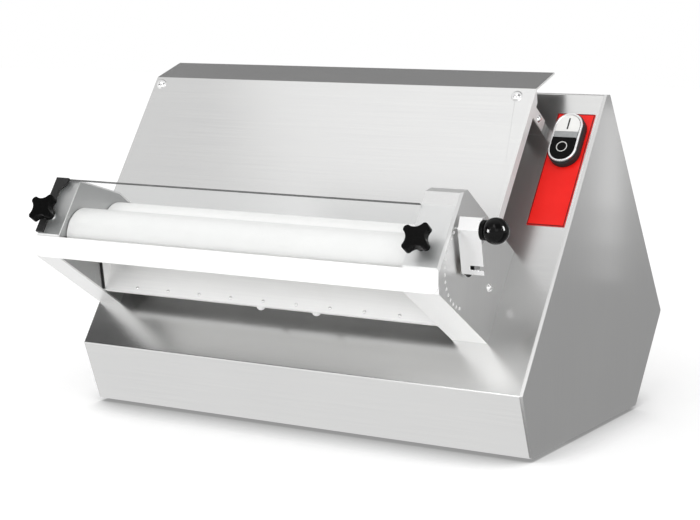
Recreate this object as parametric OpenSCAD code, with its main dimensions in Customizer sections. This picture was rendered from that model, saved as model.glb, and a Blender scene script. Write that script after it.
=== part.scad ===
// Counter-top dough sheeter: a folded stainless housing with a roller head
// standing square on its inclined front sheet and a feed plate above it.
// X runs to the control side, Y to the back, Z up; the origin is the middle
// of the footprint of the whole machine, on the table.

/* [Housing] */
// Width over both side panels
body_w = 520; // [480:1:600]
// Height of the front panel
front_h = 65.5; // [55:0.5:75]
// How far the front panel leans out at its top
front_lean = 25.5; // [15:0.5:32]
// Height of the top edge above the base
body_h = 337; // [320:1:370]
// Distance of the top edge behind the front bottom edge
apex_y = 163; // [150:1:180]
// Depth of the flat strip along the top
top_flat = 11; // [8:0.5:20]
// Distance of the rear fold behind the front bottom edge
rear_fold_y = 331; // [315:1:350]
// Height of the rear fold above the base
rear_fold_h = 93; // [80:1:110]
// Depth of the base on the table
base_depth = 263.5; // [240:0.5:290]
// Thickness of the housing sheet
sheet_t = 1.5; // [1:0.1:2]
// Outer radius of the folds
fold_r = 3; // [2.5:0.25:6]
// Bevel along the side edges of the front and of the inclined sheet
edge_bevel = 2.4; // [1.5:0.1:2.5]
// Height of the rubber feet
foot_h = 4; // [3:0.5:8]
// Diameter of the rubber feet
foot_d = 30; // [20:1:40]
// Distance of the feet from the edges of the base
foot_inset = 32; // [28:1:50]
// Length of one cooling slot in the rear cover
vent_l = 70; // [40:1:90]
// Width of one cooling slot
vent_w = 4; // [3:0.5:6]
// Spacing of the cooling slots
vent_pitch = 12; // [10:0.5:16]
// Cooling slots in one row
vent_count = 9; // [5:1:11]
// Diameter of the screws of the rear cover
cover_screw_d = 8; // [6:0.5:10]

/* [Roller head] */
// Strip left free for the controls beside the head
control_strip = 50; // [46:1:60]
// Width of the left end box
left_box_w = 30; // [29:0.5:40]
// Width of the right end box
right_box_w = 38; // [36:0.5:46]
// Lower end of the head along the inclined sheet
head_low = 50; // [46:1:54]
// Upper end of the head along the inclined sheet
head_high = 150; // [149:1:158]
// Depth of the head, square to the inclined sheet
head_depth = 131; // [131:1:140]
// Chamfer of the head's upper front edge
head_chamfer = 8; // [4:0.5:12]
// Upper edge of the front band along the inclined sheet
band_high = 61.5; // [58:0.5:64]
// Height of the front band
band_h = 22; // [18:0.5:26]
// Corner radius of the band
band_r = 9; // [4:0.5:10]
// Wall of the end boxes, the band and the apron
cover_t = 1.5; // [1:0.1:2]
// Thickness of the bearing plates
bearing_t = 10; // [8:0.5:11]
// Lower edge of the apron along the inclined sheet
apron_low = 50; // [46:0.5:54]
// Lower edge of the apron above the inclined sheet
apron_gap = 33.5; // [28:0.5:38]
// Depth of the hem along the apron's lower edge
apron_hem = 8; // [5:0.5:12]
// Screws along the apron
apron_screws = 9; // [5:1:9]
// Spacing of those screws
apron_pitch = 39.4; // [30:0.2:44]
// Spacing of the two white buffers under the apron
buffer_pitch = 66; // [50:1:90]
// Diameter of a buffer
buffer_d = 9; // [7:0.5:12]

/* [Rollers] */
// Diameter of both rollers
roller_d = 55; // [52:0.5:56]
// Gap between the rollers as shown
roller_gap = 3; // [2.8:0.1:3.4]
// Front roller axis along the inclined sheet
front_roller_u = 83; // [82:0.25:84]
// Front roller axis behind the front face of the head
front_roller_set = 34.2; // [33:0.1:35]
// Diameter of the roller shafts
shaft_d = 17; // [14:0.5:18]
// Outside diameter of the bronze bushes
bush_od = 24; // [22:0.5:25]
// Room between a roller's end and its bearing plate
roller_end_gap = 1; // [0.6:0.1:2]
// Length of a slide block along its travel
block_l = 44; // [42:0.5:46]
// Height of a slide block
block_h = 40; // [34:0.5:44]
// How far the slide blocks close the roller gap
close_travel = 2.5; // [1.5:0.1:2.6]

/* [Drive] */
// Teeth of the two equal roller gears
gear_teeth = 24; // [22:1:26]
// Face width of the gears
gear_w = 8; // [6:0.5:8]
// Height of a tooth outside the pitch circle
gear_addendum = 2; // [1.8:0.1:2.1]
// Thickness of a tooth at the pitch circle
tooth_t = 2.4; // [2.1:0.1:2.5]
// Radius of the pulley on the rear roller
roller_pulley_r = 26; // [22:0.5:27]
// Radius of the motor pulley
motor_pulley_r = 18; // [14:0.5:22]
// Width of both pulleys
pulley_w = 7; // [5:0.5:7]
// Thickness of the belt
belt_t = 3; // [2:0.25:3]
// Motor axis behind the front bottom edge
motor_y = 128; // [120:1:140]
// Motor axis above the base
motor_z = 84; // [70:1:95]
// Diameter of the gear motor
motor_d = 96; // [80:1:110]
// Length of the gear motor
motor_l = 190; // [150:1:240]

/* [Thickness lever] */
// Lever pivot behind the front roller axis
pivot_set = 12.5; // [12:0.25:14]
// Radius of the arc of index dimples
index_r = 40.5; // [38:0.5:42]
// Angle of the lever as shown, from the horizontal towards the back
index_rest = 115; // [110:1:118]
// Angle between two index dimples
index_step = 10; // [9:0.5:11]
// Index dimples below the shown position
index_down = 14; // [10:1:14]
// Diameter of the index pin
index_pin_d = 3; // [2.5:0.25:4]
// Width of the folded lever
lever_w = 23.5; // [20:0.5:25]
// Set-back of the lever's lower end
lever_lean = 9; // [5:0.5:10]
// Diameter of the index sleeve
sleeve_d = 19; // [16:0.5:20]
// Thickness of the lever sheet
lever_t = 1.5; // [1.5:0.1:2]
// Length of the lever's front face
lever_l = 54; // [50:1:58]
// Diameter of the ball knob
ball_d = 25; // [23:0.5:28]
// Place of the cheek's screw along the inclined sheet
cheek_screw_u = 96; // [90:1:100]
// Height of the cheek's screw above the inclined sheet
cheek_screw_n = 28; // [22:1:34]
// Diameter of that screw's head
cheek_screw_d = 9; // [7:0.5:10]
// Diameter of the lever's pivot shaft
pivot_d = 10; // [9:0.5:12]
// Diameter of the cam follower
follower_d = 6; // [5:0.5:6]

/* [Feed plate] */
// Gap from the inclined sheet to the face of the feed plate
feed_gap = 45; // [40:1:50]
// Upper bend of the feed plate along the inclined sheet
feed_high = 308; // [300:1:316]
// Length of the folded top flange
feed_flange = 45; // [30:1:55]
// Rise of the folded top flange
feed_flange_angle = 18.5; // [8:0.5:25]
// Depth of the side flanges
feed_side = 10; // [8:0.5:14]
// Depth of the hanger lugs at the upper corners
lug_depth = 36; // [30:1:40]
// Length of the hanger lugs
lug_l = 12; // [10:0.5:16]
// Distance of the dome screws from the upper bend
dome_edge = 9; // [8:0.5:14]
// Diameter of the dome screws
dome_d = 12; // [10:0.5:14]
// Lower edge of the hanger lugs along the inclined sheet
lug_low = 281; // [276:1:284]
// Width of the brackets behind the feed plate
bracket_w = 24; // [20:1:30]
// Diameter of the hanger pins
hanger_d = 8; // [6:0.5:9]

/* [Guard] */
// Width of the dark trim along the guard's left edge
trim_w = 9; // [7:0.5:10]
// Thickness of that trim
trim_t = 2.5; // [2:0.25:3.5]
// Distance of that trim from the head's left face
trim_in = 3.5; // [2.5:0.25:4]
// Extra width of that trim at its top
trim_pad = 7; // [4:0.5:9]
// Thickness of the clear guard
guard_t = 3; // [2:0.5:4]
// Upper edge of the guard along the inclined sheet
guard_high = 127; // [120:1:132]
// Place of the star knobs along the inclined sheet
knob_u = 84.5; // [82:0.5:90]
// Diameter across the knob's lobes
knob_d = 32; // [30:0.5:36]
// Distance of the left knob from the head's left face
knob_left = 12; // [11:0.5:14]
// Distance of the right knob from the head's right face
knob_right = 22; // [18:0.5:23]
// Radius of a lobe
lobe_r = 4; // [3.5:0.25:5]
// Radius of the hollows between the lobes
hollow_r = 11; // [9:0.5:16]
// Turn of the knobs as shown
knob_turn = 12; // [0:1:40]
// Thickness of the star
knob_t = 9; // [8:0.5:12]
// Height of the hub under the star
hub_h = 9; // [6:0.5:11]
// Diameter of the studs
stud_d = 8; // [6:0.5:10]

/* [Controls] */
// Width of the red plate
panel_w = 40; // [38:0.5:42]
// Length of the red plate
panel_l = 127; // [110:1:130]
// Lower edge of the red plate along the inclined sheet
panel_low = 180; // [176:1:186]
// Thickness of the red plate
panel_t = 1; // [0.8:0.1:2]
// Height of the black push-button body above the plate
button_h = 7.5; // [6:0.5:10]
// Step from the bezel's outline in to the body's neck
neck_step = 5.5; // [4:0.25:6]
// Length of the neck behind the plate
neck_l = 12; // [10:0.5:14]
// Height of the bezel on it
bezel_h = 3.5; // [2.5:0.25:5]
// Width of the push-button bezel
bezel_w = 30; // [28:0.5:32]
// Length of the push-button bezel
bezel_l = 55; // [52:0.5:60]
// Rim of the bezel
bezel_rim = 2.4; // [1.6:0.1:3]
// Middle of the buttons along the inclined sheet
bezel_u = 274; // [268:0.5:277]
// Travel of the push buttons
button_travel = 3; // [2:0.25:4]

/* [Clearances] */
// Running clearance of shafts, on the radius
run_gap = 0.05; // [0.02:0.01:0.1]
// Sliding clearance between moving pieces
slide_gap = 0.3; // [0.2:0.05:0.5]

/* [Hidden] */
$fn = 64;

steel = [0.80, 0.80, 0.79];
dark_steel = [0.45, 0.45, 0.46];
black = [0.05, 0.05, 0.05];
white = [0.94, 0.94, 0.92];
red = [0.80, 0.06, 0.07];
bronze = [0.72, 0.52, 0.25];

half_w = body_w / 2;

// Side outline of the housing, as y and z from the front bottom edge
lip = [-front_lean, front_h];
apex = [apex_y, body_h];
apex_rear = [apex_y + top_flat, body_h];
rear_fold = [rear_fold_y, rear_fold_h];
rear_foot = [base_depth, 0];
housing_outline = [[0, 0], rear_foot, rear_fold, apex_rear, apex, lip];

// Directions of the inclined sheet and of the two rear faces
sheet_angle = atan2(apex.y - lip.y, apex.x - lip.x);
rear_angle = atan2(rear_fold.y - apex_rear.y, rear_fold.x - apex_rear.x);
rear_slope_l = norm(rear_fold - apex_rear);
rear_low_angle = atan2(rear_foot.y - rear_fold.y, rear_foot.x - rear_fold.x);
rear_low_l = norm(rear_foot - rear_fold);

// Side-view point at u along the inclined sheet and n above it
function on_side(u, n) = lip + u * [cos(sheet_angle), sin(sheet_angle)]
    + n * [-sin(sheet_angle), cos(sheet_angle)];
function along_sheet(p) = (p - lip) * [cos(sheet_angle), sin(sheet_angle)];
function above_sheet(p) = (p - lip) * [-sin(sheet_angle), cos(sheet_angle)];

// Outline moved inwards, edge i (from point i to the next) by depths[i]
function edge_dir(pts, i) = let(d = pts[(i + 1) % len(pts)] - pts[i]) d / norm(d);
function moved_corner(p, d0, d1, t0, t1) =
    let(a = p + t0 * [-d0.y, d0.x], b = p + t1 * [-d1.y, d1.x],
        k = ((b.x - a.x) * d1.y - (b.y - a.y) * d1.x) / (d0.x * d1.y - d0.y * d1.x)) a + k * d0;
function inset(pts, depths) = [for (i = [0 : len(pts) - 1]) let(j = (i + len(pts) - 1) % len(pts))
    moved_corner(pts[i], edge_dir(pts, j), edge_dir(pts, i), depths[j], depths[i])];
function same(t, count) = [for (i = [1 : count]) t];
housing_inner = inset(housing_outline, same(sheet_t, len(housing_outline)));
housing_mid = (housing_outline[0] + rear_foot + rear_fold + apex_rear + apex + lip) / 6;

// Fold geometry: unit directions from a corner, and the corner's fold centre
function unit(v) = v / norm(v);
function corner(pts, i) = pts[(i + len(pts)) % len(pts)];
function half_angle(a, b) = acos(a * b) / 2;
function fold_start(p, to, other, r) = p + r / tan(half_angle(unit(to - p), unit(other - p))) * unit(to - p);
function fold_centre(p, a, b, r) = let(u = unit(a - p), v = unit(b - p))
    p + r / sin(half_angle(u, v)) * unit(u + v);

// Head: x of its faces, then its side outline
head_left = -half_w;
head_right = half_w - control_strip;
left_inner = head_left + left_box_w;
right_inner = head_right - right_box_w;
head_mid = (left_inner + right_inner) / 2;
band_top = on_side(band_high, head_depth);
band_bottom = band_top - [0, band_h];
band_back = [cover_t, 0];
head_outline = [on_side(head_low, 0), on_side(head_high, 0), on_side(head_high, head_depth - head_chamfer),
    on_side(head_high - head_chamfer, head_depth),
    on_side(band_high + cover_t / cos(sheet_angle), head_depth), band_bottom + band_back];
box_walls = [0, cover_t, cover_t, cover_t, cover_t, cover_t];
head_cavity = inset(head_outline, box_walls);
left_cut_n = head_depth / 2;
left_outline = [head_outline[0], head_outline[1], on_side(head_high, left_cut_n),
    on_side(guard_high + 1, head_depth), head_outline[4], head_outline[5]];
left_cavity = inset(left_outline, box_walls);

// Roller axes, gears and their travel
front_axis = on_side(front_roller_u, head_depth - front_roller_set);
roller_z = front_axis.y;
rear_axis = front_axis + [roller_d + roller_gap, 0];
roller_r = roller_d / 2;
shaft_r = shaft_d / 2;
bush_r = bush_od / 2;
gear_pitch_r = (roller_d + roller_gap) / 2;
gear_x = left_inner - bearing_t - 0.5 - gear_w;
pulley_x = gear_x - 0.5 - pulley_w;
open_travel = close_travel / index_down;
motor_axis = [motor_y, motor_z];
belt_gap = slide_gap;

// Lever: place of the pivot and of the index pin, and its x faces
pivot = front_axis + [pivot_set, 0];
follower_edge = 1.5;
cam_r = pivot_set + bush_r + follower_edge + follower_d / 2;
index_point = pivot + index_r * [cos(index_rest), sin(index_rest)];
lever_x = head_right + 3;
lever_out = lever_x + lever_w;
lever_face_y = index_point.x - index_pin_d / 2 - slide_gap - lever_t - 1.7;
lever_low = roller_z - 6;
dimple_depth = cover_t * 2 / 3;
pin_press = dimple_depth + 0.2;
sleeve_l = 4;
ball_flat_x = lever_out + sleeve_l + pin_press + slide_gap;
cam_x = right_inner + bearing_t + 1;
cam_t = 6;
close_angle = index_down * index_step;

// Feed plate: sides and lower ends
feed_left = head_left + 3;
feed_right = head_right - 3;
feed_low = head_high + 1;
tongue_low = along_sheet(rear_axis)
    + sqrt(pow(roller_r + 1.5, 2) - pow(feed_gap - above_sheet(rear_axis), 2));
dome_u = feed_high - dome_edge;
knob_x = [head_left + knob_left, head_right - knob_right];
hub_d = stud_d + 5;
dome_x = knob_x;

// Guard and knobs; the ball knob reaches as far out as the left star knob
guard_n = head_depth + slide_gap;
knob_n = guard_n + guard_t + slide_gap;
star_n = knob_n + hub_h;
lobe_path = knob_d / 2 - lobe_r;
knob_reach = lobe_path * cos(45 - knob_turn) + lobe_r;
ball_x = knob_reach - knob_x[0] - ball_d / 2;
lobe_bite = 0.3;
hollow_path = lobe_path * cos(45) - lobe_bite
    + sqrt(pow(lobe_r + hollow_r, 2) - pow(lobe_path * sin(45), 2));

// Controls
panel_x = half_w - control_strip / 2;
base_n = panel_t + button_h;
cap_top = base_n + bezel_h;
well_n = panel_t + 0.5;
cap_n = well_n + button_travel + slide_gap;

// The whole machine is centred over its footprint
front_reach = on_side(knob_u - knob_reach, star_n + knob_t).x;
origin = [0, -(front_reach + rear_fold_y) / 2, foot_h];

// Shared shapes
module piece(colour) color(colour) translate(origin) children();

// Side outline drawn in y and z, run from x0 to x1
module across(x0, x1) translate([x0, 0, 0]) rotate([90, 0, 90]) linear_extrude(x1 - x0) children();

// Round bar along X through the side-view point p
module bar(p, x0, x1, r) translate([x0, p.x, p.y]) rotate([0, 90, 0]) cylinder(h = x1 - x0, r = r);

// Frames with Z square to a face of the housing
module on_sheet(x, u, n = 0)
    translate([x, on_side(u, n).x, on_side(u, n).y]) rotate([sheet_angle, 0, 0]) children();
module on_rear(x, s) translate([x, apex_rear.x, apex_rear.y]) rotate([rear_angle, 0, 0])
    translate([0, s, 0]) children();
module on_rear_low(x, s) translate([x, rear_fold.x, rear_fold.y]) rotate([rear_low_angle, 0, 0])
    translate([0, s, 0]) children();

// Flat oval with round ends, long along Y
module oval(w, l) {
    square([w, l - w], center = true);
    for (side = [-1, 1]) translate([0, side * (l - w) / 2]) circle(d = w);
}

// Domed screw head standing on z = 0
module dome_head(d, h) {
    sphere_r = (d * d / 4 + h * h) / (2 * h);
    intersection() {
        translate([0, 0, h - sphere_r]) sphere(r = sphere_r);
        cylinder(h = h, d = d);
    }
}

// Ring with a bore, along X at the side-view point p
module bush(p, x0, x1, r, bore_r) difference() {
    bar(p, x0, x1, r);
    bar(p, x0 - 1, x1 + 1, bore_r);
}

// Convex outline with every corner folded to the same radius
module folded(pts, r) {
    polygon([for (i = [0 : len(pts) - 1], side = [-1, 1])
        fold_start(pts[i], corner(pts, i + side), corner(pts, i - side), r)]);
    for (i = [0 : len(pts) - 1])
        translate(fold_centre(pts[i], corner(pts, i - 1), corner(pts, i + 1), r)) circle(r);
}

// Housing: one ring of sheet, cut along three corners into front, rear and base
belt_slot = 48;

module belt_notch() on_sheet(head_left - 1, along_sheet(rear_axis) - belt_slot, -10)
    cube([1 + left_box_w - bearing_t - 2, belt_slot + roller_pulley_r + belt_t + 1, 20]);

module button_hole() on_sheet(panel_x, bezel_u, -10) linear_extrude(20)
    oval(bezel_w - 2 * (neck_step - slide_gap), bezel_l - 2 * (neck_step - slide_gap));

module ring_part(first, last) intersection() {
    difference() {
        folded(housing_outline, fold_r);
        folded(housing_inner, fold_r - sheet_t);
    }
    polygon(concat([housing_mid], [for (i = [first : last])
        housing_mid + 1.4 * (corner(housing_outline, i) - housing_mid)]));
}

module bevel_tool(x) translate([x - edge_bevel, -20, 0]) rotate([0, 45, 0]) translate([-10, 0, 0])
    cube([20, norm(apex - lip) + 40, 10]);

module side_bevels() for (side = [0, 1]) mirror([side, 0, 0]) {
    on_sheet(0, 0) bevel_tool(half_w);
    rotate([atan2(lip.y, lip.x), 0, 0]) bevel_tool(half_w);
}

module front_sheet() piece(steel) difference() {
    across(-half_w + sheet_t, half_w - sheet_t) ring_part(3, 6);
    belt_notch();
    button_hole();
    side_bevels();
}

module side_panel(x) piece(steel) difference() {
    across(x, x + sheet_t) folded(housing_outline, fold_r);
    side_bevels();
}

module left_side_panel() side_panel(-half_w);

module right_side_panel() side_panel(half_w - sheet_t);

// Two rows of cooling slots leave the lower part of the slope closed
vent_x = half_w / 2;
vent_s = rear_slope_l / 2 - (vent_count - 1) / 2 * vent_pitch;
gland_x = half_w * 0.6;
gland_s = rear_low_l * 0.45;
gland_d = 16;

module rear_cover() piece(steel) difference() {
    across(-half_w + sheet_t, half_w - sheet_t) ring_part(1, 3);
    for (side = [-1, 1], i = [0 : vent_count - 1])
        on_rear(side * vent_x, vent_s + i * vent_pitch) translate([0, 0, -10]) linear_extrude(20)
            rotate(90) oval(vent_w, vent_l);
    on_rear_low(gland_x, gland_s) translate([0, 0, -10]) cylinder(h = 20, d = gland_d);
}

module base_plate() piece(steel) across(-half_w + sheet_t, half_w - sheet_t) ring_part(0, 1);

module rubber_feet() piece(black)
    for (x = [-half_w + foot_inset, half_w - foot_inset], y = [foot_inset, base_depth - foot_inset])
        translate([x, y, -foot_h]) rotate_extrude()
            polygon([[0, 0], [foot_d / 2 - 1, 0], [foot_d / 2, 1], [foot_d / 2 - 1.5, foot_h], [0, foot_h]]);

module rear_cover_screws() piece(steel)
    for (x = [-half_w + 16, 0, half_w - 16], s = [14, rear_slope_l - 14])
        on_rear(x, s) dome_head(cover_screw_d, cover_screw_d * 0.35);

module cable_gland() piece(black) on_rear_low(gland_x, gland_s) difference() {
    union() {
        translate([0, 0, -8]) cylinder(h = 8, d = gland_d);
        cylinder(h = 5, d = gland_d + 8, $fn = 6);
        translate([0, 0, 5]) cylinder(h = 9, d = gland_d + 3);
        translate([0, 0, -8]) cylinder(h = 8 - sheet_t, d = gland_d + 6, $fn = 6);
    }
    translate([0, 0, -9]) cylinder(h = 30, d = gland_d / 2);
}

// Head frame
module index_dimples() for (i = [-1 : index_down])
    let(a = index_rest + i * index_step)
    bar(pivot + index_r * [cos(a), sin(a)], head_right - dimple_depth, head_right + 5,
        index_pin_d / 2 + slide_gap);

module left_end_box() piece(steel) difference() {
    across(head_left, left_inner) polygon(left_outline);
    across(head_left + cover_t, left_inner + 1) polygon(left_cavity);
    on_sheet(0, 0, head_depth) mirror([1, 0, 0]) bevel_tool(-head_left);
}

module right_end_box() piece(steel) difference() {
    across(right_inner, head_right) polygon(head_outline);
    across(right_inner - 1, head_right - cover_t) polygon(head_cavity);
    on_sheet(0, 0, head_depth) bevel_tool(head_right);
    index_dimples();
    bar(pivot, head_right - 5, head_right + 5, pivot_d / 2 + 3);
}

// Thick plates inside the boxes: the rear shaft runs in a fixed bush, the
// front shaft in a block that slides in a window
window_l = block_l + close_travel + open_travel + 2 * slide_gap;
window_y = front_axis.x - block_l / 2 - open_travel - slide_gap;

module bearing_plate(x0, outline) difference() {
    across(x0, x0 + bearing_t) polygon(outline);
    bar(rear_axis, x0 - 1, x0 + bearing_t + 1, bush_r);
    translate([x0 - 1, window_y, roller_z - block_h / 2 - slide_gap])
        cube([bearing_t + 2, window_l, block_h + 2 * slide_gap]);
}

module left_bearing_plate() piece(dark_steel) bearing_plate(left_inner - bearing_t, left_cavity);

module right_bearing_plate() piece(dark_steel) bearing_plate(right_inner, head_cavity);

module rear_bushes() piece(bronze) for (x = [left_inner - bearing_t, right_inner])
    bush(rear_axis, x, x + bearing_t, bush_r, shaft_r + run_gap);

// The band closes the lower front edge from end to end, with a flange turned
// in along its top and another along its bottom that carries the front scraper
band_flange = 8;
band_in = band_bottom.x + cover_t;

module front_band() piece(steel) {
    translate([0, band_in, 0]) rotate([90, 0, 0]) linear_extrude(cover_t) union() {
        translate([head_left, band_bottom.y + band_r])
            square([head_right - head_left, band_h - band_r]);
        translate([head_left + band_r, band_bottom.y]) square([head_right - head_left - 2 * band_r, band_r]);
        for (x = [head_left + band_r, head_right - band_r])
            translate([x, band_bottom.y + band_r]) circle(band_r);
    }
    for (z = [band_bottom.y, band_top.y - 2 * cover_t])
        translate([left_inner + 1, band_in, z]) cube([right_inner - left_inner - 2, band_flange, cover_t]);
}

// Apron: a plate under the rear roller that points straight at its axis, with
// a hem below and an end flange turned forward against each bearing plate
apron_foot = on_side(apron_low, apron_gap);
apron_up = unit(rear_axis - apron_foot);
apron_back = [apron_up.y, -apron_up.x];
apron_l = norm(rear_axis - apron_foot) - roller_r - 1;
flange_foot = apron_foot + 1.5 * apron_up;
flange_top = apron_foot + (apron_l - 6) * apron_up;
flange_front = apron_foot + 34 * apron_up - 19 * apron_back;

module strip_outline(foot, up, l, t) polygon([foot, foot + l * up, foot + l * up + t * [up.y, -up.x],
    foot + t * [up.y, -up.x]]);

module apron() piece(steel) {
    across(left_inner, right_inner) strip_outline(apron_foot, apron_up, apron_l, cover_t);
    across(left_inner, right_inner) strip_outline(apron_foot, apron_up, cover_t, apron_hem);
    for (x = [left_inner, right_inner - cover_t]) across(x, x + cover_t)
        polygon([flange_foot, flange_front, flange_top, flange_top + cover_t * apron_back,
            flange_foot + cover_t * apron_back]);
}

// Dark edging along the front of both end flanges
seal_t = 2;

module apron_seals() piece(black) for (x = [left_inner, right_inner - cover_t]) across(x, x + cover_t)
    strip_outline(flange_foot, unit(flange_front - flange_foot), norm(flange_front - flange_foot), -seal_t);

// Frame on the front face of the apron, with Z outwards
module on_apron(x, up) let(p = apron_foot + up * apron_up)
    translate([x, p.x, p.y]) rotate([atan2(apron_up.y, apron_up.x), 0, 0]) children();

module apron_screw_row() piece(dark_steel)
    for (i = [0 : apron_screws - 1])
        on_apron(head_mid + (i - (apron_screws - 1) / 2) * apron_pitch, 5) dome_head(4, 1.6);

module apron_buffers() piece(white) for (side = [-1, 1])
    on_apron(side * buffer_pitch / 2, 0) rotate([90, 0, 0]) translate([0, -apron_hem / 2, 0])
        dome_head(buffer_d, buffer_d * 0.4);

// Scrapers: blades that end just clear of the rollers, one standing behind the
// apron and one lying on the lower flange of the band
scraper_t = 2;
scraper_gap = 0.5;
rear_scraper_l = 16;
front_scraper_foot = [band_in, band_bottom.y + cover_t];
front_scraper_l = front_axis.x - front_scraper_foot.x
    - sqrt(pow(roller_r + scraper_gap, 2) - pow(front_axis.y - front_scraper_foot.y - scraper_t, 2));

module rear_scraper() piece(white) across(left_inner + 3, right_inner - 3)
    strip_outline(apron_foot + cover_t * apron_back + (apron_l + 1 - scraper_gap - rear_scraper_l) * apron_up,
        apron_up, rear_scraper_l - 0.4, scraper_t);

module front_scraper() piece(white)
    translate([left_inner + 3, front_scraper_foot.x, front_scraper_foot.y])
        cube([right_inner - left_inner - 6, front_scraper_l, scraper_t]);

module guard_studs() piece(steel) for (x = knob_x)
    on_sheet(x, knob_u, head_depth) cylinder(h = knob_n + hub_h + knob_t / 2 - head_depth, d = stud_d);

module lever_bush() piece(bronze) difference() {
    union() {
        bar(pivot, head_right - cover_t, head_right, pivot_d / 2 + 3);
        bar(pivot, head_right - cover_t - 6, head_right - cover_t, pivot_d / 2 + 6);
    }
    bar(pivot, head_right - 20, head_right + 1, pivot_d / 2 + run_gap);
}

module cheek_screw() piece(steel) on_sheet(head_right, cheek_screw_u, cheek_screw_n)
    rotate([0, 90, 0]) dome_head(cheek_screw_d, cheek_screw_d / 3);

// Rollers
module roller(axis) bush(axis, left_inner + roller_end_gap, right_inner - roller_end_gap, roller_r, shaft_r);

module rear_roller() piece(white) roller(rear_axis);

module front_roller() piece(white) roller(front_axis);

module rear_shaft() piece(steel) bar(rear_axis, pulley_x, right_inner + bearing_t, shaft_r);

module front_shaft() piece(steel) bar(front_axis, gear_x, right_inner + bearing_t, shaft_r);

// Long-toothed gears stay in mesh while the front roller moves
tooth_root = gear_addendum + close_travel + 0.4;
tooth_flank = 8;

module gear_outline(phase) {
    root_r = gear_pitch_r - tooth_root;
    circle(r = root_r);
    for (i = [0 : gear_teeth - 1]) rotate(phase + i * 360 / gear_teeth)
        polygon([[root_r - 1, -tooth_t / 2 - tooth_root * tan(tooth_flank)],
            [gear_pitch_r + gear_addendum, -tooth_t / 2 + gear_addendum * tan(tooth_flank)],
            [gear_pitch_r + gear_addendum, tooth_t / 2 - gear_addendum * tan(tooth_flank)],
            [root_r - 1, tooth_t / 2 + tooth_root * tan(tooth_flank)]]);
}

module gear(axis, phase) across(gear_x, gear_x + gear_w) translate(axis) difference() {
    gear_outline(phase);
    circle(r = shaft_r);
}

// One gear has a tooth, the other a gap, on the line between the axes
module rear_gear() piece(dark_steel) gear(rear_axis, 180);

module front_gear() piece(dark_steel) gear(front_axis, 180 / gear_teeth);

// Slide blocks and their bushes
module slide_block(x0) difference() {
    translate([x0, front_axis.x - block_l / 2, roller_z - block_h / 2]) cube([bearing_t, block_l, block_h]);
    bar(front_axis, x0 - 1, x0 + bearing_t + 1, bush_r);
}

module left_slide_block() piece(dark_steel) slide_block(left_inner - bearing_t);

follower_point = [pivot.x - cam_r, roller_z];

module right_slide_block() piece(dark_steel) difference() {
    slide_block(right_inner);
    bar(follower_point, right_inner + 3, right_inner + bearing_t + 1, follower_d / 2);
}

module front_bushes() piece(bronze) for (x = [left_inner - bearing_t, right_inner])
    bush(front_axis, x, x + bearing_t, bush_r, shaft_r + run_gap);

module cam_follower() piece(steel) bar(follower_point, right_inner + 3, cam_x + cam_t, follower_d / 2);

// Drive: a belt runs from the gear motor through the housing sheet
function tangent_turn(r0, r1, p0, p1) = acos((r0 - r1) / norm(p1 - p0));
function tangent_point(p, r, a) = p + r * [cos(a), sin(a)];

module belt_outline(r0, r1) {
    aim = atan2(rear_axis.y - motor_axis.y, rear_axis.x - motor_axis.x);
    turn = tangent_turn(r0, r1, motor_axis, rear_axis);
    translate(motor_axis) circle(r = r0);
    translate(rear_axis) circle(r = r1);
    polygon([tangent_point(motor_axis, r0, aim + turn), tangent_point(motor_axis, r0, aim - turn),
        tangent_point(rear_axis, r1, aim - turn), tangent_point(rear_axis, r1, aim + turn)]);
}

module drive_belt() piece(black) across(pulley_x + 0.5, pulley_x + pulley_w - 0.5) difference() {
    belt_outline(motor_pulley_r + belt_gap + belt_t, roller_pulley_r + belt_gap + belt_t);
    belt_outline(motor_pulley_r + belt_gap, roller_pulley_r + belt_gap);
}

module rear_pulley() piece(dark_steel)
    bush(rear_axis, pulley_x, pulley_x + pulley_w, roller_pulley_r, shaft_r);

motor_x = left_inner - bearing_t;
motor_shaft_r = 9;

module motor_pulley() piece(dark_steel) {
    bar(motor_axis, pulley_x, pulley_x + pulley_w, motor_pulley_r);
    bar(motor_axis, pulley_x + pulley_w, motor_x + 12, motor_shaft_r);
}

gearbox_l = 60;
gearbox_w = motor_d + 4;

module gear_motor() piece(dark_steel) difference() {
    union() {
        translate([motor_x, motor_y - gearbox_w / 2, motor_z - gearbox_w / 2])
            cube([gearbox_l, gearbox_w, gearbox_w]);
        bar(motor_axis, motor_x + gearbox_l, motor_x + motor_l, motor_d / 2);
        for (a = [0 : 30 : 330]) translate([motor_x + gearbox_l, motor_y, motor_z]) rotate([a, 0, 0])
            translate([0, motor_d / 2 - 2, -1.5]) cube([motor_l - gearbox_l - 30, 7, 3]);
    }
    bar(motor_axis, motor_x - 1, motor_x + 13, motor_shaft_r + run_gap);
}

module motor_bracket() piece(steel) translate([motor_x + 4, motor_y - gearbox_w / 2, sheet_t])
    difference() {
        cube([gearbox_l - 8, gearbox_w, motor_z - gearbox_w / 2 - sheet_t]);
        translate([-1, 6, -1]) cube([gearbox_l, gearbox_w - 12, motor_z - gearbox_w / 2 - sheet_t - 3]);
    }

// Thickness lever: a folded sheet that leans forward; its inner side carries the
// pivot, its outer side is only a collar at the top for the index sleeve
lever_top = lever_low + lever_l;
lever_fold = lever_top - 12;
lever_back = index_point.x + 9;
collar_low = lever_top - 26;
collar_step = 8;
fold_set = 4;
ear_r = pivot_d / 2 + 6;
nut_x = lever_x + lever_t;
washer_t = 2;
nut_t = 6;
stub_d = pivot_d / 2;
slot_l = 14;
slot_h = 4;
function lever_front(z) = [lever_face_y + lever_lean * (lever_fold - z) / (lever_fold - lever_low), z];

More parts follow.
